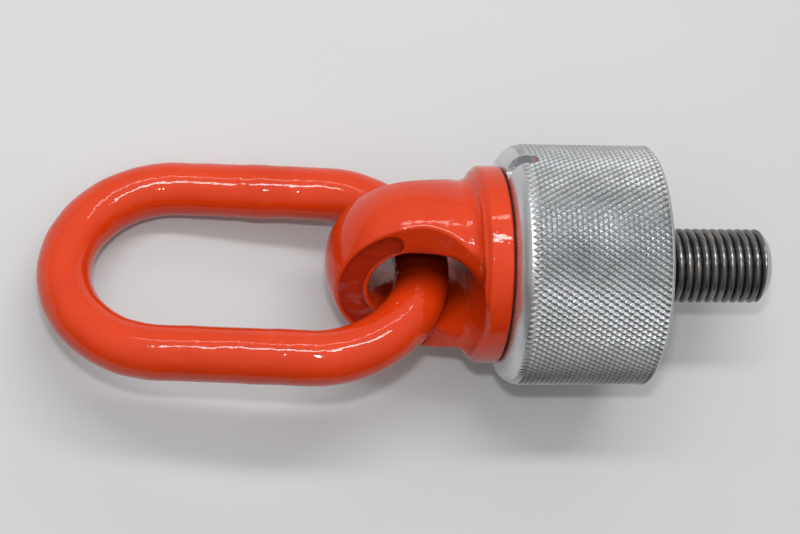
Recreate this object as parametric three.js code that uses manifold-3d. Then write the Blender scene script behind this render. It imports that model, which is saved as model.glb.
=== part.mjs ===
// Swivel lifting ring: an oblong link in a forged eye that turns on ball thrust
// bearings inside a knurled steel housing with a threaded stud.
// Millimetres. +X runs along the swivel axis towards the stud, +Z is up, and the
// ring lies on the plane z = 0 with its bounding box centred on the origin.

import * as THREE from 'three';
import { mergeVertices } from 'three/addons/utils/BufferGeometryUtils.js';
import ManifoldModule from 'manifold-3d';

const wasm = await ManifoldModule();
wasm.setup();

// ---- driving dimensions -------------------------------------------------------

const housingRadius = 48;
const housingStart = 35.8; // eye end of the housing, along X
const housingLength = 60;
const seatFace = housingStart + housingLength;
const shoulderRadius = 9;
const seatChamfer = 1.5;
const topWall = 12;
const cavityRadius = 36.3;
const slotWidth = 6.5;
const slotReach = 11.4;
const slotDepth = 8.5;
const slotAngle = THREE.MathUtils.degToRad(35.2); // from +Y towards +Z

const studRadius = 15; // M30 x 3.5
const studPitch = 3.5;
const studTip = 145.6;
const threadDepth = 2.0;
const threadRows = 3; // rows of points in one pitch
const tipChamfer = 2.4;

const ballCentre = 3.5; // middle of the eye's ball, along X
const ballLength = 36.8; // from there to the nose
const ballRadius = 34.3;
const faceOffset = 14.2; // half the eye's thickness
const rampStart = 7.3; // where the faces begin to rise to the flange
const rampSlope = 0.63;
const rampBlend = 5;
const neckEnd = 19.0;
const neckRadius = 33.3;
const neckFillet = 5;
const flangeFront = 25.4;
const flangeBack = 35.2;
const pocketWall = 24.2; // where the pockets beside the hole end, along X
const flangeRadius = 39.2;
const flangeCorner = 1.6;
const holeNose = -1.7; // centre of the hole's round end next to the nose
const holeRoot = 8.3; // centre of its round end next to the flange
const holeRadius = 14.8;
const holeEndFlare = 0.8; // how much wider the hole is at the faces, along X
const holeSideFlare = 3.0; // and across
const eyeTurn = THREE.MathUtils.degToRad(46.5); // how far the eye is turned on the swivel

const barRadius = 10.93;
const bendRadius = 41.6;
const straightLength = 58;
const linkCentre = new THREE.Vector3(-64.7, -2.5, 39.3);
const linkYaw = THREE.MathUtils.degToRad(-2.5);
const linkPitch = THREE.MathUtils.degToRad(8.8);
const linkRoll = THREE.MathUtils.degToRad(-33.6);

const shankRadius = 16;
const bushWall = 3;
const raceThickness = 4.5;
const raceInner = 17.5;
const raceOuter = 34.5;
const ballCount = 12;
const bearingBall = 4.5; // ball radius
const ballCircle = 26;
const cageThickness = 3.4;
const cageClearance = 0.35;
const nutRadius = 30;
const nutThickness = 9.5;
const nutSlots = 6;
const plugThickness = 14;
const plugRecess = 0.5;
const studShank = 14.2;
const pinRadius = 2;
const crossPinReach = 24;
const screwRadius = 2.5;
const screwLength = 9;
const collarRadius = 21;
const collarThickness = 4;
const sealInner = 28.5;
const sealOuter = 36;
const sealStart = 35.3;
const sealThickness = 1.8;
const sealGroove = 1.6; // depth of the groove that holds the seal
const gap = 0.3; // between pieces that touch

// ---- colours and finishes -----------------------------------------------------

const finish = (color, roughness, metalness) =>
  new THREE.MeshStandardMaterial({ color, roughness, metalness });
const orangeCoat = finish(0xdd3418, 0.28, 0.0);
const zinc = finish(0xb9bcbe, 0.42, 0.9);
const phosphate = finish(0x37332f, 0.34, 0.85);
const bearingSteel = finish(0xa3a5a8, 0.2, 1.0);
const bronze = finish(0xa97a3c, 0.4, 0.9);
const blackRubber = finish(0x141414, 0.8, 0.0);

// ---- solids -------------------------------------------------------------------

// Keeps positions only, joins equal vertices and turns the faces outwards.
function closedGeometry(geometry) {
  const bare = geometry.clone();
  bare.deleteAttribute('normal');
  bare.deleteAttribute('uv');
  const merged = mergeVertices(bare, 1e-3);
  const corner = (i) => new THREE.Vector3().fromBufferAttribute(merged.attributes.position, i);
  const triangles = [];
  let volume = 0;
  for (let i = 0; i < merged.index.count; i += 3) {
    const t = [0, 1, 2].map((k) => merged.index.getX(i + k));
    if (t[0] === t[1] || t[1] === t[2] || t[2] === t[0]) continue;
    triangles.push(t);
    volume += corner(t[0]).dot(corner(t[1]).cross(corner(t[2])));
  }
  if (volume < 0) triangles.forEach((t) => t.reverse());
  merged.setIndex(triangles.flat());
  return merged;
}

function toSolid(geometry) {
  const closed = closedGeometry(geometry);
  return new wasm.Manifold(
    new wasm.Mesh({
      numProp: 3,
      vertProperties: Float32Array.from(closed.attributes.position.array),
      triVerts: Uint32Array.from(closed.index.array),
    }),
  );
}

function toGeometry(solid) {
  const mesh = solid.getMesh();
  const geometry = new THREE.BufferGeometry();
  geometry.setAttribute('position', new THREE.BufferAttribute(mesh.vertProperties.slice(), 3));
  geometry.setIndex(new THREE.BufferAttribute(mesh.triVerts.slice(), 1));
  return geometry;
}

function cut(body, ...tools) {
  const solid = tools.reduce((rest, tool) => rest.subtract(toSolid(tool)), toSolid(body));
  return toGeometry(solid);
}

// Turns a profile of [x, radius] points about the X axis.
function turned(profile, segments) {
  const points = profile.map(([x, radius]) => new THREE.Vector2(radius, x));
  return new THREE.LatheGeometry(points, segments).rotateZ(-Math.PI / 2);
}

// A ring between two radii, from x0 to x1, as a profile that closes on itself.
function ringProfile(x0, x1, inner, outer) {
  return [[x0, inner], [x0, outer], [x1, outer], [x1, inner], [x0, inner]];
}

// Points on a round corner of a profile, between two angles in degrees.
function arc(x, radius, r, from, to, steps) {
  return Array.from({ length: steps + 1 }, (_, i) => {
    const a = THREE.MathUtils.degToRad(from + ((to - from) * i) / steps);
    return [x + r * Math.cos(a), radius + r * Math.sin(a)];
  });
}

// A closed tube: ring(i) gives a ring of points, and the last ring joins the first.
function loopTube(ringCount, sides, ring) {
  const rings = Array.from({ length: ringCount }, (_, i) => ring(i));
  const triangles = [];
  for (let i = 0; i < ringCount; i += 1) {
    for (let j = 0; j < sides; j += 1) {
      const a = i * sides + j;
      const b = i * sides + ((j + 1) % sides);
      const c = ((i + 1) % ringCount) * sides + j;
      const d = ((i + 1) % ringCount) * sides + ((j + 1) % sides);
      triangles.push(a, c, b, b, c, d);
    }
  }
  const geometry = new THREE.BufferGeometry();
  const flat = rings.flat().flatMap((p) => [p.x, p.y, p.z]);
  geometry.setAttribute('position', new THREE.Float32BufferAttribute(flat, 3));
  geometry.setIndex(triangles);
  return geometry;
}

// Joins rings of points one after the other and closes both ends.
function stackedRings(rings) {
  const sides = rings[0].length;
  const middle = (points) =>
    [0, 1, 2].map((k) => points.reduce((sum, p) => sum + p[k], 0) / points.length);
  const points = [middle(rings[0]), ...rings.flat(), middle(rings[rings.length - 1])];
  const last = points.length - 1;
  const triangles = [];
  for (let j = 0; j < sides; j += 1) {
    const next = (j + 1) % sides;
    triangles.push(0, 1 + next, 1 + j);
    const base = 1 + (rings.length - 1) * sides;
    triangles.push(last, base + j, base + next);
    for (let i = 0; i + 1 < rings.length; i += 1) {
      const a = 1 + i * sides;
      const b = a + sides;
      triangles.push(a + j, a + next, b + j, a + next, b + next, b + j);
    }
  }
  const geometry = new THREE.BufferGeometry();
  geometry.setAttribute('position', new THREE.Float32BufferAttribute(points.flat(), 3));
  geometry.setIndex(triangles);
  return geometry;
}

// ---- oval link ----------------------------------------------------------------

// Two straight limbs and two half-round ends, swept by a round bar in its own plane.
function linkGeometry() {
  const sides = 16;
  const endSteps = 18;
  const limbSteps = 4;
  const stations = [];
  for (const side of [1, -1]) {
    for (let i = 0; i < endSteps; i += 1) {
      const a = Math.PI * (i / endSteps - 0.5) + (side > 0 ? 0 : Math.PI);
      stations.push([side * (straightLength / 2) + bendRadius * Math.cos(a), bendRadius * Math.sin(a), a]);
    }
    for (let i = 0; i < limbSteps; i += 1) {
      const x = side * straightLength * (0.5 - i / limbSteps);
      stations.push([x, side * bendRadius, side * (Math.PI / 2)]);
    }
  }
  return loopTube(stations.length, sides, (i) => {
    const [x, y, a] = stations[i];
    return Array.from({ length: sides }, (_, j) => {
      const b = (2 * Math.PI * j) / sides;
      const out = barRadius * Math.cos(b);
      return new THREE.Vector3(x + out * Math.cos(a), y + out * Math.sin(a), barRadius * Math.sin(b));
    });
  });
}

// ---- swivel eye ---------------------------------------------------------------

// Ball, neck, flange and shank in one turned blank.
function eyeBlank() {
  const ball = arc(0, 0, 1, 180, 90, 14)
    .map(([x, r]) => [ballCentre + ballLength * x, ballRadius * r]);
  ball[0][1] = 0;
  return turned(
    [
      ...ball,
      [(ballCentre + neckEnd) / 2 + 2, ballRadius - 0.3],
      ...arc(neckEnd, neckRadius + neckFillet, neckFillet, -90, -16, 4),
      ...arc(flangeFront + flangeCorner, flangeRadius - flangeCorner, flangeCorner, 164, 90, 3),
      [flangeBack - 0.6, flangeRadius],
      [flangeBack, flangeRadius - 0.6],
      [flangeBack, shankRadius + 2],
      [flangeBack + 0.4, shankRadius],
      [nutEnd - 1, shankRadius],
      [nutEnd, shankRadius - 1],
      [nutEnd, 0],
    ],
    56,
  );
}

// Half the eye's thickness at x: flat towards the nose, then a ramp up to the flange.
function faceHeight(x) {
  const rise = rampSlope * (x - rampStart);
  const overlap = Math.max(rampBlend - Math.abs(rise), 0) / rampBlend;
  return faceOffset + Math.max(rise, 0) + (overlap * overlap * rampBlend) / 4;
}

// Everything outside one face, as a slab across the eye.
function faceCut(side) {
  const far = 60;
  const steps = 10;
  const from = rampStart - rampBlend / rampSlope;
  const to = pocketWall - neckFillet;
  const shape = new THREE.Shape();
  shape.moveTo(-far, faceOffset);
  for (let i = 0; i <= steps; i += 1) {
    const x = from + ((to - from) * i) / steps;
    shape.lineTo(x, faceHeight(x));
  }
  shape.lineTo(pocketWall - 1.5, faceHeight(pocketWall - 1.5) + 1.5);
  shape.lineTo(pocketWall, faceHeight(pocketWall) + 5);
  shape.lineTo(pocketWall, far);
  shape.lineTo(-far, far);
  shape.closePath();
  return new THREE.ExtrudeGeometry(shape, { depth: 2 * far, bevelEnabled: false })
    .translate(0, 0, -far)
    .rotateX((side * Math.PI) / 2);
}

// The oblong hole as one solid along Z, narrowest half way through.
function holeTool() {
  const reach = 40;
  const bands = 5; // steps from the middle to where the hole stops widening
  const widest = 1.3; // that place, as a share of half the eye's thickness
  const arcSteps = 16;
  const levels = Array.from(
    { length: 2 * bands + 1 },
    (_, i) => (widest * faceOffset * (i - bands)) / bands,
  );
  const rings = [-reach, ...levels, reach].map((z) => {
    const share = Math.min(Math.abs(z) / faceOffset, widest) ** 2;
    return [[holeRoot, -Math.PI / 2], [holeNose, Math.PI / 2]].flatMap(([centre, from]) =>
      Array.from({ length: arcSteps + 1 }, (_, i) => {
        const a = from + (Math.PI * i) / arcSteps;
        const flare = holeEndFlare * Math.cos(a) ** 2 + holeSideFlare * Math.sin(a) ** 2;
        const r = holeRadius + flare * share;
        return [centre + r * Math.cos(a), r * Math.sin(a), z];
      }));
  });
  return stackedRings(rings);
}

function eyeGeometry() {
  return cut(eyeBlank(), holeTool(), faceCut(1), faceCut(-1), lockPin(pinRadius + gap));
}

// ---- housing ------------------------------------------------------------------

function housingGeometry() {
  const bore = shankRadius + bushWall + 2 * gap;
  const r = shoulderRadius;
  const body = turned(
    [
      [housingStart, bore],
      [housingStart, sealInner - gap],
      [housingStart + sealGroove, sealInner - gap],
      [housingStart + sealGroove, sealOuter + gap],
      [housingStart, sealOuter + gap],
      ...arc(housingStart + r, housingRadius - r, r, 180, 90, 7),
      [seatFace - seatChamfer, housingRadius],
      [seatFace, housingRadius - seatChamfer],
      [seatFace, cavityRadius],
      [housingStart + topWall, cavityRadius],
      [housingStart + topWall, bore],
      [housingStart, bore],
    ],
    56,
  );
  const slots = [slotAngle, slotAngle + Math.PI].map(slotTool);
  return cut(body, ...slots, ...seamHoles());
}

// A round-ended spanner slot, open at the eye end of the housing.
function slotTool(angle) {
  const length = slotReach + 4;
  const shape = new THREE.Shape();
  shape.moveTo(-length, -slotWidth / 2);
  shape.lineTo(-slotWidth / 2, -slotWidth / 2);
  shape.absarc(-slotWidth / 2, 0, slotWidth / 2, -Math.PI / 2, Math.PI / 2, false);
  shape.lineTo(-length, slotWidth / 2);
  shape.closePath();
  return new THREE.ExtrudeGeometry(shape, { depth: 20, bevelEnabled: false, curveSegments: 10 })
    .translate(housingStart + slotReach, 0, housingRadius - slotDepth)
    .rotateX(angle - Math.PI / 2);
}

// ---- bearing stack, from the housing's top wall towards the stud ----------------

const raceStart = housingStart + topWall + gap;
const ballPlane = raceStart + raceThickness + gap + bearingBall;
const lowerRace = ballPlane + bearingBall + gap;
const nutStart = lowerRace + raceThickness + gap;
const nutEnd = nutStart + nutThickness;
const plugEnd = seatFace - plugRecess;
const plugStart = plugEnd - plugThickness;

const washer = (start, thickness, inner, outer) =>
  turned(ringProfile(start, start + thickness, inner, outer), 40);

// A pin that locks the nut to the shank, along the eye's own Z.
const lockPin = (radius) =>
  new THREE.CylinderGeometry(radius, radius, nutRadius - 9, 16)
    .rotateX(Math.PI / 2)
    .translate(nutStart + nutThickness / 2 - 1, 0, (nutRadius - 1 + 8) / 2);

function cageGeometry() {
  const blank = washer(ballPlane - cageThickness / 2, cageThickness, 20, 32.5);
  const windows = Array.from({ length: ballCount }, (_, i) => {
    const a = (2 * Math.PI * i) / ballCount;
    const r = bearingBall + cageClearance;
    return new THREE.CylinderGeometry(r, r, 2 * cageThickness, 16)
      .rotateZ(Math.PI / 2)
      .translate(ballPlane, ballCircle * Math.cos(a), ballCircle * Math.sin(a));
  });
  return cut(blank, ...windows);
}

function nutGeometry() {
  const blank = washer(nutStart, nutThickness, shankRadius + gap, nutRadius);
  const slots = Array.from({ length: nutSlots }, (_, i) =>
    new THREE.BoxGeometry(nutThickness, 7, 8)
      .translate(nutEnd, 0, nutRadius)
      .rotateX((2 * Math.PI * (i + 0.5)) / nutSlots),
  );
  return cut(blank, ...slots, lockPin(pinRadius + gap));
}

// ---- base plug and its fastenings ------------------------------------------------

// Grub screws on the seam between plug and housing, half in each.
const seamScrew = (side, radius, length) =>
  new THREE.CylinderGeometry(radius, radius, length, 16)
    .rotateZ(Math.PI / 2)
    .translate(plugEnd - length / 2, side * cavityRadius, 0);

const seamHoles = () => [1, -1].map((side) =>
  seamScrew(side, screwRadius + gap, screwLength + gap).translate(0.01, 0, 0));

// A cross pin through the plug and the stud's shank.
const crossPin = (radius, length) =>
  new THREE.CylinderGeometry(radius, radius, length, 16)
    .translate(plugStart + plugThickness / 2, 0, 0);

function plugGeometry() {
  const blank = washer(plugStart, plugThickness, studShank + gap, cavityRadius - gap);
  const spannerHoles = [1, -1].map((side) =>
    new THREE.CylinderGeometry(3, 3, 16, 20)
      .rotateZ(Math.PI / 2)
      .translate(plugEnd, 0, side * 27),
  );
  return cut(blank, ...seamHoles(), ...spannerHoles, crossPin(pinRadius + gap, 2 * crossPinReach + 2 * gap));
}

// ---- stud ---------------------------------------------------------------------

// Thread crests run round the stud as a helix of one pitch per turn.
function threadGeometry(start) {
  const sides = 20;
  const rows = [];
  const step = studPitch / threadRows;
  for (let x = start; x < studTip - tipChamfer - step / 2; x += step) rows.push(x);
  rows.push(studTip - tipChamfer, studTip);
  const radiusAt = (x, a) => {
    if (x === studTip) return studRadius - tipChamfer - threadDepth / 2;
    const wave = 0.5 - 0.5 * Math.cos((2 * Math.PI * x) / studPitch - a);
    return studRadius - threadDepth * wave;
  };
  return stackedRings(rows.map((x) => Array.from({ length: sides }, (_, j) => {
    const a = (2 * Math.PI * j) / sides;
    const r = radiusAt(x, a);
    return [x, r * Math.cos(a), r * Math.sin(a)];
  })));
}

// A collar inside the plug, a plain shank through it and the thread outside it.
function studGeometry() {
  const collarEnd = plugStart - gap;
  const threadStart = plugEnd + 1;
  const shank = turned(
    [
      [collarEnd - collarThickness, 0],
      [collarEnd - collarThickness, collarRadius],
      [collarEnd, collarRadius],
      [collarEnd, studShank],
      [threadStart + 1, studShank - 1],
      [threadStart + 1, 0],
    ],
    40,
  );
  const drilled = toSolid(shank).subtract(toSolid(crossPin(pinRadius + gap, 80)));
  return toGeometry(drilled.add(toSolid(threadGeometry(threadStart))));
}

// ---- assembly -----------------------------------------------------------------

const ring = new THREE.Group();
const onAxis = new THREE.Group(); // the swivel axis, one housing radius above the plane
onAxis.position.z = housingRadius;
ring.add(onAxis);

function place(parent, name, geometry, material) {
  const mesh = new THREE.Mesh(closedGeometry(geometry), material);
  mesh.name = name;
  parent.add(mesh);
  return mesh;
}

place(onAxis, 'housing', housingGeometry(), zinc);
place(onAxis, 'flange_seal', washer(sealStart, sealThickness, sealInner, sealOuter), blackRubber);
const bushInner = shankRadius + gap;
const bush = washer(housingStart + 0.4, topWall - 0.8, bushInner, bushInner + bushWall);
place(onAxis, 'shank_bush', bush, bronze);
place(onAxis, 'thrust_race_upper', washer(raceStart, raceThickness, raceInner, raceOuter), bearingSteel);
place(onAxis, 'thrust_race_lower', washer(lowerRace, raceThickness, raceInner, raceOuter), bearingSteel);
place(onAxis, 'ball_cage', cageGeometry(), bronze);
for (let i = 0; i < ballCount; i += 1) {
  const a = (2 * Math.PI * i) / ballCount;
  const ball = place(
    onAxis,
    `bearing_ball_${String(i + 1).padStart(2, '0')}`,
    new THREE.SphereGeometry(bearingBall, 10, 7),
    bearingSteel,
  );
  ball.position.set(ballPlane, ballCircle * Math.cos(a), ballCircle * Math.sin(a));
}
place(onAxis, 'base_plug', plugGeometry(), zinc);
place(onAxis, 'threaded_stud', studGeometry(), phosphate);
place(onAxis, 'stud_lock_pin', crossPin(pinRadius, 2 * crossPinReach), bearingSteel);
[1, -1].forEach((side, i) => {
  place(onAxis, `plug_screw_${i + 1}`, seamScrew(side, screwRadius, screwLength), phosphate);
});

const eye = new THREE.Group();
eye.rotation.x = eyeTurn;
onAxis.add(eye);
place(eye, 'swivel_eye', eyeGeometry(), orangeCoat);
place(eye, 'retaining_nut', nutGeometry(), bearingSteel);
place(eye, 'nut_lock_pin', lockPin(pinRadius), bearingSteel);

const link = new THREE.Group();
link.position.copy(linkCentre);
link.rotation.set(linkRoll, -linkPitch, linkYaw, 'ZYX');
ring.add(link);
place(link, 'oval_link', linkGeometry(), orangeCoat);

export default ring;
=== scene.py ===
import math

import bmesh
import bpy
import numpy as np
from mathutils import Matrix, Vector, noise


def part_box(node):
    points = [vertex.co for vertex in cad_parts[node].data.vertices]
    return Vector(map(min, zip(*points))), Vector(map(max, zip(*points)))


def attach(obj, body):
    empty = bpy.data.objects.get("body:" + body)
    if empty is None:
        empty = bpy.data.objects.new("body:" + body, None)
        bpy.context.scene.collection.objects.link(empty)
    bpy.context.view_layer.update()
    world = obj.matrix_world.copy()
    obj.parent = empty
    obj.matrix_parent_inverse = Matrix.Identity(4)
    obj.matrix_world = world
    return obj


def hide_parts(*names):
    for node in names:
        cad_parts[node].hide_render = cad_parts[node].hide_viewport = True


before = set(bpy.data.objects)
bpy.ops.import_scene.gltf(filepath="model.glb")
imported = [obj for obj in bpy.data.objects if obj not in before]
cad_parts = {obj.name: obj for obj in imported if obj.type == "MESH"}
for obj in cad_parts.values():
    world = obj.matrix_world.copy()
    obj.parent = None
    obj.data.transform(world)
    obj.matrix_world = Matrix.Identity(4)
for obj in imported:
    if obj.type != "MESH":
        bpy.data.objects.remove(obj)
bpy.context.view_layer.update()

# ---- places read from the frame; lengths below are in millimetres ----------------
MM = 0.001


def span(node, axis):
    """The lowest and highest coordinate of a CAD node along an axis, in millimetres."""
    low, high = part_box(node)
    return low[axis] / MM, high[axis] / MM


HOUSING_START, SEAT_FACE = span("housing", 0)
STUD_START, STUD_TIP = span("threaded_stud", 0)
PLUG_START, PLUG_END = span("base_plug", 0)
SHANK_END = span("swivel_eye", 0)[1]
SEAL_START, SEAL_END = span("flange_seal", 0)
HOUSING_RADIUS = (span("housing", 1)[1] - span("housing", 1)[0]) / 2
AXIS_HEIGHT = sum(span("housing", 2)) / 2

# the eye: places along the swivel axis and radii from it
EYE_TURN = math.radians(46.5)
BALL_CENTRE, BALL_LENGTH, BALL_RADIUS = 3.5, 36.8, 34.3
NECK_END, NECK_RADIUS, NECK_FILLET = 19.0, 33.3, 5.0
FLANGE_FRONT, FLANGE_BACK, FLANGE_RADIUS, FLANGE_CORNER = 25.4, 35.2, 39.2, 2.0
SHANK_RADIUS = 16.0
# its two faces: their distance from the middle plane, and the ramps that rise to the flange
FACE_OFFSET, RAMP_START, RAMP_SLOPE, RAMP_BLEND, POCKET_WALL = 14.2, 7.3, 0.63, 5.0, 24.2
HOLE_NOSE, HOLE_ROOT, HOLE_RADIUS = -1.7, 8.3, 14.8
HOLE_END_FLARE, HOLE_SIDE_FLARE = 0.8, 2.4
RECESS_RADIUS, RECESS_HALF_WIDTH, RECESS_DEPTH, RECESS_END = 22.4, 4.8, 1.3, 112

# the link: a round bar bent into an oblong ring, and how it lies at rest
BAR_RADIUS, BEND_RADIUS, LIMB_LENGTH = 10.93, 41.6, 58.0
LINK_CENTRE = Vector((-64.7, -2.5, 39.3))
LINK_YAW, LINK_PITCH, LINK_ROLL = (math.radians(a) for a in (-2.5, 8.8, -33.6))

# the housing, its knurl and spanner slots, and the seal in its end
SHOULDER_RADIUS, SEAT_CHAMFER = 9.0, 1.5
KNURL_COUNT, KNURL_LEAD, KNURL_DEPTH, KNURL_START = 118, 4.0, 1.0, 4.4
SLOT_WIDTH, SLOT_REACH, SLOT_DEPTH = 6.5, 11.4, 8.5
SLOT_ANGLE = math.radians(35.2)
SEAL_RADII, SEAL_GAP, SEAL_GROOVE = (28.5, 36.0), 0.3, 1.6

# the stud, the plug it stands in and the grub screws in the seam
STUD_RADIUS, STUD_PITCH, THREAD_DEPTH, TIP_CHAMFER = 15.0, 3.5, 1.9, 3.0
STUD_SHANK, PLUG_RADIUS, CAVITY_RADIUS = 14.2, 36.0, 36.3
SCREW_LENGTH, SCREW_RADIUS, SCREW_SOCKET = 9.0, 2.5, 1.45

WHITE = (1, 1, 1)


# ---- mesh helpers ------------------------------------------------------------------
def on_axis():
    """From millimetres about the swivel axis to the shared frame's metres."""
    return Matrix.Translation((0, 0, AXIS_HEIGHT * MM)) @ Matrix.Scale(MM, 4)


def make_object(name, points, faces, place, material):
    """A smooth mesh object; place takes its points, in their own units, to the shared frame."""
    mesh = bpy.data.meshes.new(name)
    corners = [list(map(int, face)) for face in faces]
    mesh.from_pydata(np.asarray(points, dtype=float).tolist(), [], corners)
    mesh.transform(place)
    mesh.materials.append(material)
    mesh.validate()
    solid = bmesh.new()
    solid.from_mesh(mesh)
    bmesh.ops.remove_doubles(solid, verts=solid.verts, dist=1e-7)
    bmesh.ops.recalc_face_normals(solid, faces=solid.faces)
    solid.to_mesh(mesh)
    solid.free()
    mesh.shade_smooth()
    made = bpy.data.objects.new(name, mesh)
    bpy.context.scene.collection.objects.link(made)
    return made


def sharpen(made, degrees):
    """Faces that meet at more than this angle keep a crisp edge between them."""
    made.data.set_sharp_from_angle(angle=math.radians(degrees))


def hand_over(made, body, slot, *nodes):
    """Says which body carries the piece and the CAD nodes it stands for; the slot argument is not used.
    """
    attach(made, body)
    if nodes:
        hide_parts(*nodes)


def turned(profile, segments):
    """Points and faces of a profile of (x, radius) turned about X; ends at radius 0 close it."""
    points, rings = [], []
    for x, radius in profile:
        if radius < 1e-6:
            rings.append([len(points)] * segments)
            points.append((x, 0.0, 0.0))
            continue
        rings.append(list(range(len(points), len(points) + segments)))
        for j in range(segments):
            a = 2 * math.pi * j / segments
            points.append((x, radius * math.cos(a), radius * math.sin(a)))
    faces = []
    for low, high in zip(rings, rings[1:]):
        for j in range(segments):
            k = (j + 1) % segments
            corners = list(dict.fromkeys((low[j], high[j], high[k], low[k])))
            if len(corners) > 2:
                faces.append(corners)
    return points, faces


def closed_turned(profile, segments):
    """A turned ring whose profile runs back to its first point."""
    points, faces = turned(profile, segments)
    last = (len(profile) - 1) * segments
    faces += [[last + j, j, (j + 1) % segments, last + (j + 1) % segments] for j in range(segments)]
    return points, faces


def arc(x, y, radius, start, end, steps):
    """Points on an arc, between two angles in degrees."""
    angles = np.radians(np.linspace(start, end, steps + 1))
    return [(x + radius * math.cos(a), y + radius * math.sin(a)) for a in angles]


def bridge(first, second):
    """Quads between two closed rows of as many vertices."""
    count = len(first)
    return [(first[j], first[(j + 1) % count], second[(j + 1) % count], second[j])
            for j in range(count)]


def cut_away(target, cutter):
    """Cuts one object out of another and removes the cutter."""
    modifier = target.modifiers.new("cut", "BOOLEAN")
    modifier.operation, modifier.object, modifier.solver = "DIFFERENCE", cutter, "EXACT"
    graph = bpy.context.evaluated_depsgraph_get()
    result = bpy.data.meshes.new_from_object(target.evaluated_get(graph))
    target.modifiers.clear()
    old = target.data
    target.data = result
    bpy.data.meshes.remove(old)
    mesh = cutter.data
    bpy.data.objects.remove(cutter)
    bpy.data.meshes.remove(mesh)


def waves(point, size, amount):
    """A smooth, repeatable unevenness in millimetres at a point given in millimetres."""
    return amount * noise.noise(Vector(point) / size)


# ---- materials -----------------------------------------------------------------------
def new_material(name):
    """A new material, its node tree and its Principled shader."""
    material = bpy.data.materials.new(name)
    material.use_nodes = True
    return material, material.node_tree, material.node_tree.nodes["Principled BSDF"]


def object_place(tree):
    """Coordinates that stay with the piece, and are the shared frame's at rest, in metres."""
    return tree.nodes.new("ShaderNodeTexCoord").outputs["Object"]


def pointiness(tree):
    """Above 0.5 on outside edges and below it in hollows."""
    return tree.nodes.new("ShaderNodeNewGeometry").outputs["Pointiness"]


def noise_node(tree, scale, detail, roughness=0.5):
    """Noise fixed to the piece, with about as many lumps to the metre as its scale."""
    texture = tree.nodes.new("ShaderNodeTexNoise")
    texture.inputs["Scale"].default_value = scale
    texture.inputs["Detail"].default_value = detail
    texture.inputs["Roughness"].default_value = roughness
    tree.links.new(object_place(tree), texture.inputs["Vector"])
    return texture.outputs["Fac"]


def ramp(tree, factor, stops):
    """A colour ramp from (position, colour) stops."""
    made = tree.nodes.new("ShaderNodeValToRGB")
    first, last = made.color_ramp.elements[0], made.color_ramp.elements[1]
    first.position, last.position = stops[0][0], stops[-1][0]
    first.color, last.color = (*stops[0][1], 1), (*stops[-1][1], 1)
    for position, colour in stops[1:-1]:
        made.color_ramp.elements.new(position).color = (*colour, 1)
    tree.links.new(factor, made.inputs["Fac"])
    return made.outputs["Color"]


def blend_colours(tree, factor, first, second, mode="MIX"):
    """Blends two colours; factor and colours are each a socket or a fixed value."""
    mix = tree.nodes.new("ShaderNodeMix")
    mix.data_type, mix.blend_type = "RGBA", mode
    for name, value in (("Factor", factor), ("A", first), ("B", second)):
        if isinstance(value, bpy.types.NodeSocket):
            tree.links.new(value, mix.inputs[name])
        else:
            mix.inputs[name].default_value = value
    return mix.outputs["Result"]


def span_of(tree, value, low, high, start=0.3, end=0.7):
    """Maps a value between start and end to one between low and high."""
    made = tree.nodes.new("ShaderNodeMapRange")
    made.inputs["From Min"].default_value, made.inputs["From Max"].default_value = start, end
    made.inputs["To Min"].default_value, made.inputs["To Max"].default_value = low, high
    tree.links.new(value, made.inputs["Value"])
    return made.outputs["Result"]


def vector_step(tree, operation, vector, other=(0, 0, 0)):
    """One step of vector arithmetic with a fixed second vector."""
    made = tree.nodes.new("ShaderNodeVectorMath")
    made.operation = operation
    made.inputs[1].default_value = other
    tree.links.new(vector, made.inputs[0])
    gives_number = operation in ("LENGTH", "DISTANCE", "DOT_PRODUCT")
    return made.outputs["Value" if gives_number else "Vector"]


def bump(tree, height, strength, distance, under=None):
    """A bump of a height in millimetres, laid over another where one is given."""
    made = tree.nodes.new("ShaderNodeBump")
    made.inputs["Strength"].default_value = strength
    made.inputs["Distance"].default_value = distance * MM
    tree.links.new(height, made.inputs["Height"])
    if under is not None:
        tree.links.new(under, made.inputs["Normal"])
    return made.outputs["Normal"]


def dress(tree, shader, colour, roughness, normal, metallic=0.0):
    """Links a surface's colour, roughness and normal to its shader."""
    shader.inputs["Metallic"].default_value = metallic
    for name, value in (("Base Color", colour), ("Roughness", roughness), ("Normal", normal)):
        tree.links.new(value, shader.inputs[name])


def hole_painted_shade(tree):
    """Painted shade: dark inside the eye's hole and on the link where it passes through, and white well
    outside it.
    """
    hole_middle = ((HOLE_NOSE + HOLE_ROOT) / 2 * MM, 0, AXIS_HEIGHT * MM)
    from_hole = vector_step(tree, "DISTANCE", object_place(tree), hole_middle)
    darkest, unshaded = 15.0 * MM, 26.0 * MM
    share = span_of(tree, from_hole, 0.0, 1.0, darkest, unshaded)
    return ramp(tree, share, [(0.0, (0.18, 0.15, 0.15)), (0.45, (0.56, 0.52, 0.52)), (1.0, WHITE)])


def orange_coat(name, dark, light):
    """Glossy powder coat with orange peel and a slight drift of colour, with painted shade in the
    hollows and in and around the eye's hole.
    """
    material, tree, shader = new_material(name)
    drift = ramp(tree, noise_node(tree, 38, 4), [(0.3, dark), (0.7, light)])
    # painted shade: darker where the surface curves inward
    painted_hollow_shade = ramp(tree, pointiness(tree), [(0.44, (0.6, 0.5, 0.5)), (0.5, WHITE)])
    colour = blend_colours(tree, 0.6, drift, painted_hollow_shade, "MULTIPLY")
    # painted shade in and around the eye's hole
    colour = blend_colours(tree, 1.0, colour, hole_painted_shade(tree), "MULTIPLY")
    roughness = span_of(tree, noise_node(tree, 90, 2), 0.03, 0.06)
    broad = bump(tree, noise_node(tree, 240, 1), 0.3, 0.35)
    fine = bump(tree, noise_node(tree, 600, 1), 0.4, 0.14, broad)
    dress(tree, shader, colour, roughness, fine)
    shader.inputs["Specular IOR Level"].default_value = 0.42
    return material


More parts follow.
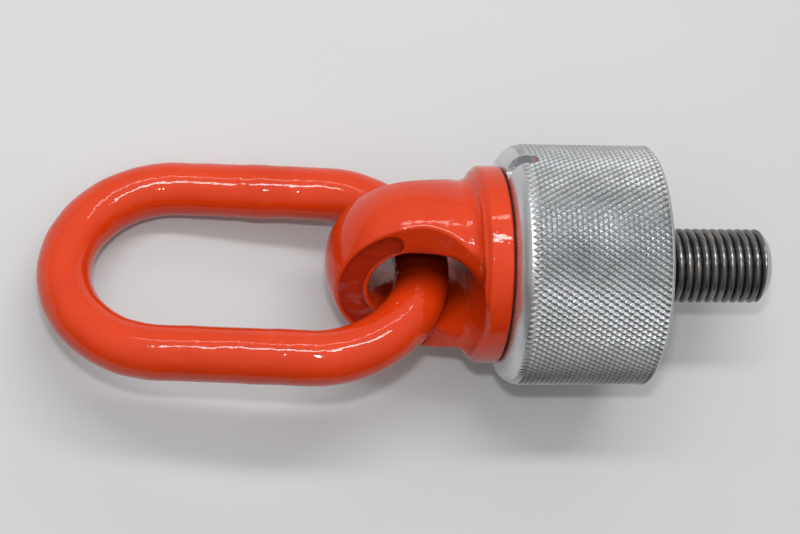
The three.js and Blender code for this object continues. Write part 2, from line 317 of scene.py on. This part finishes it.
def knurl_groove_shade(tree):
    """Painted shade: dark towards the bottom of the knurl's grooves and white everywhere else."""
    place = object_place(tree)
    from_axis = vector_step(tree, "SUBTRACT", place, (0, 0, AXIS_HEIGHT * MM))
    crosswise = vector_step(tree, "MULTIPLY", from_axis, (0, 1, 1))
    radius = vector_step(tree, "LENGTH", crosswise)
    bottom, top = (HOUSING_RADIUS - KNURL_DEPTH - 0.3) * MM, (HOUSING_RADIUS - 0.15) * MM
    height = span_of(tree, radius, 0.0, 1.0, bottom, top)
    shade = ramp(tree, height, [(0.12, WHITE), (0.2, (0.30, 0.30, 0.30)),
                                (0.5, (0.74, 0.74, 0.74)), (0.9, WHITE)])
    along = vector_step(tree, "DOT_PRODUCT", place, (1, 0, 0))
    first, full = (HOUSING_START + KNURL_START) * MM, (HOUSING_START + SHOULDER_RADIUS) * MM
    knurled = span_of(tree, along, 0.0, 1.0, first, full)
    return blend_colours(tree, knurled, (*WHITE, 1), shade)


def zinc_plate(name, knurled=False):
    """Satin zinc plating, with painted shade in the hollows and a few brown stains."""
    material, tree, shader = new_material(name)
    brown = (0.16, 0.09, 0.05, 1)
    cloud = ramp(tree, noise_node(tree, 60, 5), [(0.3, (0.55, 0.56, 0.57)), (0.7, (0.69, 0.70, 0.71))])
    # painted shade: darker where the surface curves inward
    painted_hollow_shade = ramp(tree, pointiness(tree), [(0.42, (0.18, 0.18, 0.18)), (0.5, WHITE)])
    colour = blend_colours(tree, 0.6, cloud, painted_hollow_shade, "MULTIPLY")
    # the knurled zinc gets painted shade in the knurl's grooves
    if knurled:
        colour = blend_colours(tree, 1.0, colour, knurl_groove_shade(tree), "MULTIPLY")
    stain = ramp(tree, noise_node(tree, 210, 6, 0.6), [(0.70, (0, 0, 0)), (0.76, WHITE)])
    colour = blend_colours(tree, stain, colour, brown)
    roughness = span_of(tree, noise_node(tree, 150, 4), 0.22, 0.36)
    grain = bump(tree, noise_node(tree, 1400, 3), 0.3, 0.05)
    dress(tree, shader, colour, roughness, grain, metallic=0.85)
    return material


def dark_phosphate():
    """Oiled dark phosphate, rubbed to brown-grey steel on the crests; the roots carry painted shade and
    the crests are lightened partly for the rubbing and partly as painted highlight.
    """
    material, tree, shader = new_material("dark_phosphate")
    greys = [(0.3, (0.080, 0.081, 0.083)), (0.55, (0.13, 0.131, 0.132)), (0.75, (0.22, 0.18, 0.15))]
    # painted shade in the thread's roots; the lighter crests are partly rubbing and partly painted
    # highlight
    crest_wear_root_shade = [(0.46, (0.35, 0.35, 0.35)), (0.5, WHITE), (0.56, (2.2, 2.2, 2.2))]
    cloud = ramp(tree, noise_node(tree, 130, 5), greys)
    colour = blend_colours(tree, 1.0, cloud, ramp(tree, pointiness(tree), crest_wear_root_shade), "MULTIPLY")
    roughness = span_of(tree, noise_node(tree, 240, 4), 0.15, 0.27)
    grain = bump(tree, noise_node(tree, 1100, 3), 0.3, 0.04)
    dress(tree, shader, colour, roughness, grain, metallic=0.8)
    return material


def plain_metal(name, dark, light, roughness):
    """Machined metal: cloudy colour, fine turning marks and uneven gloss."""
    material, tree, shader = new_material(name)
    colour = ramp(tree, noise_node(tree, 110, 4), [(0.3, dark), (0.7, light)])
    gloss = span_of(tree, noise_node(tree, 300, 3), *roughness)
    grain = bump(tree, noise_node(tree, 1500, 2), 0.2, 0.03)
    dress(tree, shader, colour, gloss, grain, metallic=1.0)
    return material


def black_rubber():
    """The matt black rubber of the seal."""
    material, tree, shader = new_material("black_rubber")
    blacks = [(0.3, (0.008, 0.008, 0.008)), (0.7, (0.022, 0.021, 0.020))]
    colour = ramp(tree, noise_node(tree, 200, 4), blacks)
    roughness = span_of(tree, noise_node(tree, 400, 3), 0.55, 0.8)
    grain = bump(tree, noise_node(tree, 1800, 2), 0.4, 0.05)
    dress(tree, shader, colour, roughness, grain)
    return material


def pale_sheet():
    """The matt pale grey sheet that the ring lies on."""
    material, tree, shader = new_material("pale_sheet")
    greys = [(0.3, (0.55, 0.554, 0.556)), (0.7, (0.57, 0.573, 0.575))]
    tree.links.new(ramp(tree, noise_node(tree, 4, 3), greys), shader.inputs["Base Color"])
    tree.links.new(bump(tree, noise_node(tree, 700, 3), 0.06, 0.05), shader.inputs["Normal"])
    shader.inputs["Roughness"].default_value = 0.55
    return material


ORANGE = orange_coat("orange_powder_coat", (0.57, 0.034, 0.003), (0.65, 0.043, 0.004))
# a darker copy of the coat: painted shade for the recess round each face of the eye
SHADED_ORANGE = orange_coat("orange_recess_shade", (0.31, 0.017, 0.004), (0.40, 0.023, 0.005))
ZINC = zinc_plate("satin_zinc")
KNURLED_ZINC = zinc_plate("knurled_zinc", knurled=True)
PHOSPHATE = dark_phosphate()
BEARING = plain_metal("bearing_steel", (0.42, 0.43, 0.44), (0.56, 0.57, 0.58), (0.18, 0.30))
CUT_STEEL = plain_metal("cut_steel", (0.56, 0.57, 0.59), (0.70, 0.71, 0.73), (0.30, 0.42))
BRONZE = plain_metal("bearing_bronze", (0.42, 0.25, 0.10), (0.55, 0.34, 0.15), (0.28, 0.42))
RUBBER = black_rubber()


# ---- oval link ----------------------------------------------------------------------
def link_stations(step):
    """Centre points of the bar and the outward direction there, all round the link."""
    bend = round(math.pi * BEND_RADIUS / step)
    limb = round(LIMB_LENGTH / step)
    stations = []
    for side in (1, -1):
        for i in range(bend):
            a = math.pi * (i / bend - 0.5) + (0 if side > 0 else math.pi)
            centre = (side * LIMB_LENGTH / 2 + BEND_RADIUS * math.cos(a), BEND_RADIUS * math.sin(a))
            stations.append((*centre, a))
        for i in range(limb):
            along = side * LIMB_LENGTH * (0.5 - i / limb)
            stations.append((along, side * BEND_RADIUS, side * math.pi / 2))
    return stations


def build_link():
    """A round bar bent into an oblong ring, with the bead of its butt weld on one limb."""
    sides = 72
    weld_place, weld_width, weld_height = 3.0, 4.5, 0.42
    swell, ripple = (9.0, 0.16), (3.2, 0.045)
    points, faces = [], []
    stations = link_stations(0.85)
    for x, y, a in stations:
        weld = 0.0
        if y > BEND_RADIUS - 0.01:
            off = (x - weld_place) / weld_width
            weld = weld_height * math.exp(-off * off) * (1 - 0.35 * math.exp(-(off * 3) ** 2))
        for j in range(sides):
            b = 2 * math.pi * j / sides
            out = BAR_RADIUS * math.cos(b)
            spot = (x + out * math.cos(a), y + out * math.sin(a), BAR_RADIUS * math.sin(b))
            radius = BAR_RADIUS - 0.12 + weld + waves(spot, *swell) + waves(spot, *ripple)
            out = radius * math.cos(b)
            points.append((x + out * math.cos(a), y + out * math.sin(a), radius * math.sin(b)))
    rows = len(stations)
    for i in range(rows):
        for j in range(sides):
            k, n = (j + 1) % sides, (i + 1) % rows
            faces.append((i * sides + j, n * sides + j, n * sides + k, i * sides + k))
    yaw, roll = Matrix.Rotation(LINK_YAW, 4, "Z"), Matrix.Rotation(LINK_ROLL, 4, "X")
    turn = yaw @ Matrix.Rotation(-LINK_PITCH, 4, "Y") @ roll
    place = Matrix.Scale(MM, 4) @ Matrix.Translation(LINK_CENTRE) @ turn
    made = make_object("welded_link", points, faces, place, ORANGE)
    hand_over(made, "link_body", "orange_coat", "oval_link")


# ---- swivel eye ---------------------------------------------------------------------
def smooth_max(a, b, blend):
    """The greater of two distances, rounded over where they meet."""
    h = np.maximum(blend - np.abs(a - b), 0.0) / blend
    return np.maximum(a, b) + h * h * blend * 0.25


def profile_distance(profile, x_range, r_range, step):
    """A table of signed distance to a profile of (x, radius), negative inside."""
    xs = np.arange(*x_range, step)
    rs = np.arange(*r_range, step)
    gx, gr = np.meshgrid(xs, rs, indexing="ij")
    nearest = np.full(gx.shape, 1e9)
    inside = np.zeros(gx.shape, dtype=bool)
    outline = list(profile) + [(x, -r) for x, r in reversed(profile)]
    for (x0, r0), (x1, r1) in zip(outline, outline[1:] + outline[:1]):
        dx, dr = x1 - x0, r1 - r0
        length = dx * dx + dr * dr
        if length < 1e-12:
            continue
        t = np.clip(((gx - x0) * dx + (gr - r0) * dr) / length, 0, 1)
        nearest = np.minimum(nearest, np.hypot(gx - x0 - t * dx, gr - r0 - t * dr))
        if abs(dr) > 1e-12:
            crossing = ((r0 > gr) != (r1 > gr)) & (gx < x0 + (gr - r0) * dx / dr)
            inside ^= crossing
    return xs, rs, np.where(inside, -nearest, nearest)


def eye_profile():
    """Ball, neck, fillet, flange and the start of the shank."""
    ball = [(BALL_CENTRE + BALL_LENGTH * x, BALL_RADIUS * r) for x, r in arc(0, 0, 1, 180, 90, 48)]
    ball[0] = (ball[0][0], 0)
    length, drop = NECK_END - BALL_CENTRE, BALL_RADIUS - NECK_RADIUS
    shares = np.linspace(0.1, 0.95, 12)
    neck = [(BALL_CENTRE + length * t, BALL_RADIUS - drop * t ** 2.5) for t in shares]
    fillet = arc(NECK_END, NECK_RADIUS + NECK_FILLET, NECK_FILLET, -90, -16, 14)
    corner = arc(FLANGE_FRONT + FLANGE_CORNER, FLANGE_RADIUS - FLANGE_CORNER, FLANGE_CORNER, 164, 90, 10)
    back = [(FLANGE_BACK - 0.8, FLANGE_RADIUS), (FLANGE_BACK, FLANGE_RADIUS - 0.8)]
    shank = [(FLANGE_BACK, SHANK_RADIUS), (FLANGE_BACK + 4, SHANK_RADIUS), (FLANGE_BACK + 4, 0)]
    return ball + neck + fillet + corner + back + shank


EYE_TABLE = profile_distance(eye_profile(), (-40, 46), (-2, 48), 0.25)


def turned_distance(x, r):
    """Signed distance to the eye's turned outline, read between the places of its table."""
    xs, rs, table = EYE_TABLE
    step = xs[1] - xs[0]
    i = np.clip((x - xs[0]) / step, 0, len(xs) - 2.001)
    j = np.clip((r - rs[0]) / step, 0, len(rs) - 2.001)
    i0, j0 = i.astype(int), j.astype(int)
    u, v = i - i0, j - j0
    return ((1 - u) * (1 - v) * table[i0, j0] + u * (1 - v) * table[i0 + 1, j0]
            + (1 - u) * v * table[i0, j0 + 1] + u * v * table[i0 + 1, j0 + 1])


def eye_distance(x, m, n):
    """Signed distance to the forged eye. m lies across the eye's face and n along its hole."""
    body = turned_distance(x, np.hypot(m, n))
    side = np.abs(n)
    # each face is flat towards the nose, then rises as a ramp to the flange
    flat, slope = np.full_like(x, FACE_OFFSET), FACE_OFFSET + RAMP_SLOPE * (x - RAMP_START)
    floor = smooth_max(flat, slope, RAMP_BLEND)
    steep = np.where(x > RAMP_START, math.hypot(1, RAMP_SLOPE), 1.0)
    cut = smooth_max((floor - side) / steep, x - POCKET_WALL, RAMP_BLEND)
    body = smooth_max(body, -cut, 1.0)
    # the oblong hole is narrowest half way through and runs out smoothly into the ramps
    along = np.clip((x - HOLE_NOSE) / (HOLE_ROOT - HOLE_NOSE), 0, 1)
    dx = x - (HOLE_NOSE + along * (HOLE_ROOT - HOLE_NOSE))
    across = np.maximum(np.hypot(dx, m), 1e-3)
    widen = (HOLE_END_FLARE * dx ** 2 + HOLE_SIDE_FLARE * m ** 2) / across ** 2
    flare = widen * np.minimum(side / FACE_OFFSET, 1.3) ** 2
    rim_rounding = np.interp(x, (10.0, 22.0), (1.6, 6.0))
    body = smooth_max(body, HOLE_RADIUS + flare - across, rim_rounding)
    recess = np.maximum(recess_band(x, m), FACE_OFFSET - RECESS_DEPTH - side)
    return smooth_max(body, -recess, 0.6)


def recess_band(x, m):
    """Distance to the shallow recess round the nose half of each face, in the face's plane."""
    ring = np.hypot(x - HOLE_NOSE, m)
    end = math.radians(RECESS_END)
    end_x, end_m = HOLE_NOSE + RECESS_RADIUS * math.cos(end), RECESS_RADIUS * math.sin(end)
    end_gap = np.hypot(x - end_x, np.abs(m) - end_m)
    past_end = np.arctan2(np.abs(m), x - HOLE_NOSE) > end
    return np.where(past_end, np.abs(ring - RECESS_RADIUS), end_gap) - RECESS_HALF_WIDTH


def surface_net(distance, low, high, step):
    """Points and quads of the surface where distance is zero, on a grid from low to high."""
    axes = [np.arange(a, b + step, step) for a, b in zip(low, high)]
    grid = np.meshgrid(*axes, indexing="ij")
    field = distance(*grid)
    shape = tuple(n - 1 for n in field.shape)
    total, count = np.zeros((*shape, 3)), np.zeros(shape)
    edges = []
    for axis in range(3):
        low_side = [slice(None)] * 3
        high_side = [slice(None)] * 3
        low_side[axis], high_side[axis] = slice(0, -1), slice(1, None)
        first, second = field[tuple(low_side)], field[tuple(high_side)]
        where = np.argwhere((first < 0) != (second < 0))
        spot = tuple(where.T)
        share = first[spot] / (first[spot] - second[spot])
        point = where.astype(float)
        point[:, axis] += share
        others = [a for a in range(3) if a != axis]
        cells = []
        for da, db in ((0, 0), (-1, 0), (-1, -1), (0, -1)):
            cell = where.copy()
            cell[:, others[0]] += da
            cell[:, others[1]] += db
            cells.append(cell)
        fits = np.all([np.all((c >= 0) & (c < shape), axis=1) for c in cells], axis=0)
        for cell in cells:
            c = tuple(cell[fits].T)
            np.add.at(total, c, point[fits])
            np.add.at(count, c, 1)
        flip = (first[spot] < 0)[fits] != (axis == 1)
        edges.append(([c[fits] for c in cells], flip))
    index = np.full(shape, -1)
    active = count > 0
    index[active] = np.arange(active.sum())
    points = total[active] / count[active][:, None] * step + np.array(low)
    faces = []
    for cells, flip in edges:
        quad = np.stack([index[tuple(c.T)] for c in cells], axis=1)
        quad[~flip] = quad[~flip][:, ::-1]
        faces.append(quad)
    return points, np.concatenate(faces)


def settle(points, distance):
    """Moves points on to the surface along its slope."""
    rounds, reach, longest_move = 4, 0.08, 0.3
    for _ in range(rounds):
        value = distance(*points.T)
        slope = []
        for offset in reach * np.eye(3):
            slope.append(distance(*(points + offset).T) - distance(*(points - offset).T))
        slope = np.stack(slope, axis=1) / (2 * reach)
        size = np.maximum((slope ** 2).sum(1), 0.25)
        move = np.clip(value / size, -longest_move, longest_move)
        points = points - move[:, None] * slope
    return points


def build_eye():
    """The forged eye with its flange, slightly uneven like its die, and the turned shank."""
    step = 0.55
    reach = FLANGE_RADIUS + 1.2
    low, high = (-35, -reach, -reach), (FLANGE_BACK + 5, reach, reach)
    points, faces = surface_net(eye_distance, low, high, step)
    points = settle(points, eye_distance)
    swell, ripple, lumps = (11.0, 0.14), (4.0, 0.04), (3.6, 0.24)
    outward = points / np.maximum(np.linalg.norm(points, axis=1), 1)[:, None]
    forged = points[:, 0] < FLANGE_BACK - 1
    uneven = [waves(p, *swell) + waves(p, *ripple) if f else 0 for p, f in zip(points, forged)]
    points = points + outward * np.array(uneven)[:, None]
    in_recess = recess_band(points[:, 0], points[:, 1]) < -0.4
    sunk = in_recess & (np.abs(points[:, 2]) < FACE_OFFSET - 0.6)
    floor = np.array([waves(p, *lumps) if s else 0 for p, s in zip(points, sunk)])
    points[:, 2] += np.sign(points[:, 2]) * floor
    place = on_axis() @ Matrix.Rotation(EYE_TURN, 4, "X")
    made = make_object("forged_eye", points, faces, place, ORANGE)
    # the recess faces take the darker copy of the coat, painted shade for where they lie sunk
    made.data.materials.append(SHADED_ORANGE)
    lowest, highest = FACE_OFFSET - RECESS_DEPTH - 1.0, FACE_OFFSET - 0.15
    to_eye = place.inverted()
    for face in made.data.polygons:
        x, m, n = to_eye @ face.center
        if recess_band(x, m) < 0.1 and lowest < abs(n) < highest:
            face.material_index = 1
    hand_over(made, "eye_body", "orange_coat", "swivel_eye")

    start, end, radius = FLANGE_BACK + 3.5, SHANK_END - 0.2, SHANK_RADIUS - 0.05
    profile = [(start, 0), (start, radius), (end - 1.0, radius),
               (end, SHANK_RADIUS - 1.2), (end, 0)]
    shank = make_object("eye_shank", *turned(profile, 96), place, BEARING)
    sharpen(shank, 35)
    hand_over(shank, "eye_body", "bearing_steel")


# ---- knurled housing -----------------------------------------------------------------
def knurl_band(start, end):
    """Diamond points between two crossing sets of grooves, from start to end along X."""
    half = KNURL_LEAD / 2
    steps = int((end - start) // half)
    lead = 2 * (end - start) / steps
    low, top = HOUSING_RADIUS - KNURL_DEPTH, HOUSING_RADIUS
    blunt = 0.10
    points, faces, index = [], [], {}

    def vertex(u, v, radius):
        """u counts half teeth round the housing and v half leads along it."""
        u = u % (2 * KNURL_COUNT)
        key = (round(u, 4) % (2 * KNURL_COUNT), round(v, 4))
        if key not in index:
            index[key] = len(points)
            a = math.pi * u / KNURL_COUNT
            x = start + v * lead / 2
            r = min(radius, shoulder_height(x))
            points.append((x, r * math.cos(a), r * math.sin(a)))
        return index[key]

    for v in range(0, steps + 1):
        for u in range(v % 2 + 1, 2 * KNURL_COUNT + 1, 2):
            # u, v is a diamond's centre; its corners are one step away along and round
            left, right = vertex(u - 1, v, low), vertex(u + 1, v, low)
            tip_left, tip_right = vertex(u - blunt, v, top), vertex(u + blunt, v, top)
            if v > 0:
                below, tip_below = vertex(u, v - 1, low), vertex(u, v - blunt, top)
                faces += [(left, below, tip_below, tip_left), (below, right, tip_right, tip_below),
                          (tip_left, tip_below, tip_right)]
            if v < steps:
                above, tip_above = vertex(u, v + 1, low), vertex(u, v + blunt, top)
                faces += [(left, tip_left, tip_above, above), (tip_right, right, above, tip_above),
                          (tip_left, tip_right, tip_above)]
    return points, faces, index, steps


def shoulder_height(x):
    """Radius of the rounded shoulder that was turned over the knurl."""
    inset = min(max(SHOULDER_RADIUS - (x - HOUSING_START), 0.0), SHOULDER_RADIUS)
    return HOUSING_RADIUS - SHOULDER_RADIUS + math.sqrt(SHOULDER_RADIUS ** 2 - inset ** 2)


def knurl_rim(index, row):
    """Places round the housing and vertices of one row of the knurl, in order."""
    return sorted((u, i) for (u, v), i in index.items() if abs(v - row) < 1e-6)


def add_rings(points, faces, rim, profile):
    """Joins a rim of the knurl to plain rings of (x, radius), and returns the last ring."""
    last = [i for _, i in rim]
    for x, radius in profile:
        ring = []
        for u, _ in rim:
            a = math.pi * u / KNURL_COUNT
            ring.append(len(points))
            points.append((x, radius * math.cos(a), radius * math.sin(a)))
        faces += bridge(last, ring)
        last = ring
    return last


def build_housing():
    """The cup: knurled outside, a plain shoulder over the knurl, a stepped bore, two slots."""
    band_start, band_end = HOUSING_START + KNURL_START, SEAT_FACE - SEAT_CHAMFER
    points, faces, index, steps = knurl_band(band_start, band_end)
    proud = HOUSING_RADIUS + 0.02  # keeps the plain rings just outside the knurl
    inset = SHOULDER_RADIUS - KNURL_START
    meet = 90 + math.degrees(math.asin(inset / SHOULDER_RADIUS))
    shoulder = arc(HOUSING_START + SHOULDER_RADIUS, proud - SHOULDER_RADIUS, SHOULDER_RADIUS,
                   meet, 180, 12)
    groove = HOUSING_START + SEAL_GROOVE
    groove_inner, groove_outer = SEAL_RADII[0] - SEAL_GAP, SEAL_RADII[1] + SEAL_GAP
    crown, bush_hole = HOUSING_START + 12, SHANK_RADIUS + 3.6
    inside = [(HOUSING_START, groove_outer), (groove, groove_outer), (groove, groove_inner),
              (HOUSING_START, groove_inner), (HOUSING_START, bush_hole), (crown, bush_hole),
              (crown, CAVITY_RADIUS), (SEAT_FACE, CAVITY_RADIUS)]
    seat_edge = HOUSING_RADIUS - SEAT_CHAMFER
    chamfer = [(band_end, proud), (SEAT_FACE - 0.15, seat_edge + 0.15), (SEAT_FACE, seat_edge - 0.2)]
    front = add_rings(points, faces, knurl_rim(index, 0), shoulder + inside)
    seat = add_rings(points, faces, knurl_rim(index, steps), chamfer)
    # both rims have three vertices to each tooth, so the last two rings join one to one
    faces += bridge(seat, front)
    made = make_object("knurled_housing", points, faces, on_axis(), KNURLED_ZINC)
    for half_turn in (0, math.pi):
        cut_away(made, slot_cutter(SLOT_ANGLE + half_turn))
    for side in (1, -1):
        cut_away(made, seam_hole(side, SEAT_FACE + 2))
    made.data.shade_smooth()
    sharpen(made, 22)
    hand_over(made, "housing_body", "zinc_plate", "housing")


def slot_cutter(angle):
    """A round-ended spanner slot with a slightly broken bottom edge, open at the eye end."""
    half, past_face = SLOT_WIDTH / 2, -10.0
    end = arc(SLOT_REACH - half, 0, half, -90, 90, 20)
    outline = [(past_face, -half)] + end + [(past_face, half)]
    bottom = HOUSING_RADIUS - SLOT_DEPTH
    # how far the wall stands in from the outline at each height
    walls = [(bottom, 0.6), (bottom + 0.2, 0.18), (bottom + 0.6, 0.0), (HOUSING_RADIUS - 0.9, 0.0),
             (HOUSING_RADIUS + 1.0, -1.4), (HOUSING_RADIUS + 6, -1.4)]
    points, faces, rings = [], [], []
    for height, inset in walls:
        rings.append(range(len(points), len(points) + len(outline)))
        for x, y in outline:
            shift = inset if x > 0 else 0
            points.append((HOUSING_START + x - shift, y * (1 - inset / half), height))
    for lower, upper in zip(rings, rings[1:]):
        faces += bridge(lower, upper)
    faces += [tuple(rings[0]), tuple(rings[-1])]
    turn = Matrix.Rotation(angle - math.pi / 2, 4, "X")
    return make_object("slot_cutter", points, faces, on_axis() @ turn, ZINC)


def seam_hole(side, end):
    """A cutter for a grub screw's hole, half in the housing and half in the plug."""
    bottom, radius = PLUG_END - SCREW_LENGTH - 0.3, SCREW_RADIUS + 0.3
    profile = [(bottom, 0), (bottom, radius), (end, radius), (end, 0)]
    place = on_axis() @ Matrix.Translation((0, side * CAVITY_RADIUS, 0))
    return make_object("seam_hole", *turned(profile, 32), place, ZINC)


# ---- stud, plug, seal and screws -------------------------------------------------------
def build_stud():
    """A collar and plain shank inside the plug, then a rolled thread with rounded crests."""
    segments, rows_per_pitch = 120, 16
    thread_start = PLUG_END + 0.6
    step = STUD_PITCH / rows_per_pitch
    chamfer_start = STUD_TIP - TIP_CHAMFER
    rows = list(np.arange(thread_start, STUD_TIP - step / 2, step)) + [STUD_TIP]
    angles = 2 * np.pi * np.arange(segments) / segments
    collar, collar_end, tip_slope = 21.0, STUD_START + 4.0, 1.05
    rings = [(STUD_START, collar - 0.6), (STUD_START + 0.6, collar), (collar_end - 0.4, collar),
             (collar_end, collar - 0.4), (collar_end, STUD_SHANK), (PLUG_END + 0.3, STUD_SHANK)]
    grids = [(x, np.full(segments, radius)) for x, radius in rings]
    for x in rows:
        turn = (x / STUD_PITCH - angles / (2 * np.pi)) % 1.0
        off = np.abs(2 * turn - 1)
        groove = THREAD_DEPTH * off ** 2.2
        fade = min(1.0, (x - thread_start) / 1.5 + 0.35)
        radius = STUD_RADIUS - groove * fade
        if x > chamfer_start:
            radius = np.minimum(radius, STUD_RADIUS - 0.2 - (x - chamfer_start) * tip_slope)
        grids.append((x, radius))
    points = [(STUD_START, 0, 0)]
    for x, radius in grids:
        points += [(x, r * math.cos(a), r * math.sin(a)) for r, a in zip(radius, angles)]
    inner = STUD_RADIUS - TIP_CHAMFER - 0.6
    points += [(STUD_TIP, inner * math.cos(a), inner * math.sin(a)) for a in angles]
    points.append((STUD_TIP, 0, 0))
    count, last = len(grids) + 1, len(points) - 1
    faces = [(0, 1 + j, 1 + (j + 1) % segments) for j in range(segments)]
    for i in range(count - 1):
        for j in range(segments):
            k, base = (j + 1) % segments, 1 + i * segments
            faces.append((base + j, base + segments + j, base + segments + k, base + k))
    base = 1 + (count - 1) * segments
    faces += [(base + j, last, base + (j + 1) % segments) for j in range(segments)]
    made = make_object("rolled_stud", points, faces, on_axis(), PHOSPHATE)
    made.data.materials.append(CUT_STEEL)
    for face in made.data.polygons:
        if face.center.x > (chamfer_start + 0.6) * MM:
            face.material_index = 1
    sharpen(made, 50)
    hand_over(made, "housing_body", "dark_phosphate", "threaded_stud")


def build_plug():
    """The threaded ring that closes the housing, with two holes for a pin spanner."""
    bore, bevel = STUD_SHANK + 0.3, 0.6
    profile = [(PLUG_START, bore), (PLUG_START, PLUG_RADIUS), (PLUG_END - bevel, PLUG_RADIUS),
               (PLUG_END, PLUG_RADIUS - bevel), (PLUG_END, bore + 1.0), (PLUG_END - 1.0, bore)]
    made = make_object("turned_plug", *closed_turned(profile, 160), on_axis(), ZINC)
    hole_place, hole_radius, outside = 27.0, 3.0, PLUG_END + 1
    drill = [(PLUG_END - 8, 0), (PLUG_END - 7, hole_radius), (PLUG_END - 0.5, hole_radius),
             (outside, hole_radius + 1.5), (outside, 0)]
    for side in (1, -1):
        place = on_axis() @ Matrix.Translation((0, 0, side * hole_place))
        cut_away(made, make_object("spanner_hole", *turned(drill, 32), place, ZINC))
        cut_away(made, seam_hole(side, outside))
    made.data.shade_smooth()
    sharpen(made, 30)
    hand_over(made, "housing_body", "zinc_plate", "base_plug")


def build_screws():
    """Grub screws with a hexagon socket in the seam between plug and housing."""
    start, end, outside = PLUG_END - SCREW_LENGTH, PLUG_END - 0.05, PLUG_END + 1
    profile = [(start, 0), (start, SCREW_RADIUS - 0.5), (start + 0.5, SCREW_RADIUS),
               (end - 0.35, SCREW_RADIUS), (end, SCREW_RADIUS - 0.35), (end, 0)]
    bottom = PLUG_END - 2.4
    hexagon = [(bottom, 0), (bottom, SCREW_SOCKET), (outside, SCREW_SOCKET), (outside, 0)]
    for i, side in enumerate((1, -1)):
        place = on_axis() @ Matrix.Translation((0, side * CAVITY_RADIUS, 0))
        made = make_object(f"grub_screw_{i + 1}", *turned(profile, 48), place, PHOSPHATE)
        cut_away(made, make_object("hexagon", *turned(hexagon, 6), place, PHOSPHATE))
        made.data.shade_smooth()
        sharpen(made, 30)
        hand_over(made, "housing_body", "dark_phosphate", f"plug_screw_{i + 1}")


def build_seal():
    """A flat rubber ring with a soft lip that closes the gap under the flange."""
    inner, outer = SEAL_RADII
    lip = SEAL_START + 0.05
    profile = [(SEAL_END, inner), (lip + 0.5, inner), (lip + 0.1, inner + 0.4), (lip, inner + 1.2),
               (lip, outer - 0.9), (lip + 0.15, outer - 0.3), (lip + 0.6, outer), (SEAL_END, outer)]
    made = make_object("rubber_seal", *closed_turned(profile, 160), on_axis(), RUBBER)
    sharpen(made, 40)
    hand_over(made, "housing_body", "black_seal", "flange_seal")


def finish_cad_nodes():
    """The pieces sealed inside the housing keep their solids and get machined finishes."""
    steel = [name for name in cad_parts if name.startswith("bearing_ball_")]
    steel += ["thrust_race_upper", "thrust_race_lower", "retaining_nut", "nut_lock_pin",
              "stud_lock_pin"]
    finishes = {"shank_bush": BRONZE, "ball_cage": BRONZE}
    finishes.update({name: BEARING for name in steel})
    for name, material in finishes.items():
        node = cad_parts[name]
        node.data.materials.clear()
        node.data.materials.append(material)


# ---- camera, floor and light -------------------------------------------------------------
def build_camera():
    """High above the ring, looking down on it from a little towards the link and the near side."""
    pan, tilt, roll = -0.147, math.radians(5.0), -0.006
    distance, focal, sensor = 840.0, 90.0, 36.0
    look = Vector((3.8, 2.85, 0.0))
    aim = Matrix.Rotation(pan, 4, "Y") @ Matrix.Rotation(tilt, 4, "X")
    turn = aim @ Matrix.Rotation(roll, 4, "Z")
    data = bpy.data.cameras.new("camera")
    data.lens, data.sensor_width = focal, sensor
    camera = bpy.data.objects.new("camera", data)
    bpy.context.scene.collection.objects.link(camera)
    place = (look + turn @ Vector((0, 0, distance))) * MM
    camera.matrix_world = Matrix.Translation(place) @ turn
    bpy.context.scene.camera = camera
    return camera


def build_floor():
    """A wide pale sheet just under the ring, in metres."""
    size, just_below = 6.0, Matrix.Translation((0, 0, -0.00005))
    points = [(-size, -size, 0), (size, -size, 0), (size, size, 0), (-size, size, 0)]
    make_object("pale_floor", points, [(0, 1, 2, 3)], just_below, pale_sheet())


def area_light(name, place, target, size, power):
    """A white rectangular light with its longer side along X, facing the target."""
    data = bpy.data.lights.new(name, "AREA")
    data.shape, data.size, data.size_y, data.energy = "RECTANGLE", size[0], size[1], power
    light = bpy.data.objects.new(name, data)
    bpy.context.scene.collection.objects.link(light)
    away = (Vector(place) - Vector(target)).normalized()
    up = away.cross(Vector((1, 0, 0))).normalized()
    turn = Matrix((up.cross(away).normalized(), up, away)).transposed()
    light.matrix_world = Matrix.Translation(place) @ turn.to_4x4()


def build_lights(camera):
    """Two long ceiling tubes, a flash by the lens and a room that is bright above."""
    centre = Vector((0, 0, 0.05))
    tube_length, tube_distance = 1.5, 1.9
    for name, angle, width, power in (("tube_near", 25, 0.16, 15.0), ("tube_far", 50, 0.10, 3.0)):
        a = math.radians(angle)
        place = centre + Vector((0.05, math.sin(a), math.cos(a))) * tube_distance
        area_light(name, place, centre, (tube_length, width), power)
    beside_lens = camera.matrix_world.to_3x3() @ Vector((0, 0.09, 0.02))
    area_light("flash", camera.matrix_world.translation + beside_lens, centre, (0.05, 0.03), 1.7)

    world = bpy.data.worlds.new("soft_room")
    bpy.context.scene.world = world
    world.use_nodes = True
    tree = world.node_tree
    direction = tree.nodes.new("ShaderNodeTexCoord").outputs["Generated"]
    facing = vector_step(tree, "DOT_PRODUCT", direction, (0.0, 0.44, 0.90))
    share = span_of(tree, facing, 0.0, 1.0, -0.55, 1.0)
    levels = [(0.0, 0.02), (0.355, 0.10), (0.484, 0.20), (0.71, 0.55), (0.897, 0.66), (1.0, 1.0)]
    cool = [(at, (level * 0.99, level, level * 1.01)) for at, level in levels]
    background = tree.nodes["Background"]
    tree.links.new(ramp(tree, share, cool), background.inputs["Color"])
    background.inputs["Strength"].default_value = 1.0


bpy.context.scene.view_settings.view_transform = "Standard"
camera = build_camera()
build_floor()
build_lights(camera)
build_link()
build_eye()
build_housing()
build_seal()
build_stud()
build_plug()
build_screws()
finish_cad_nodes()
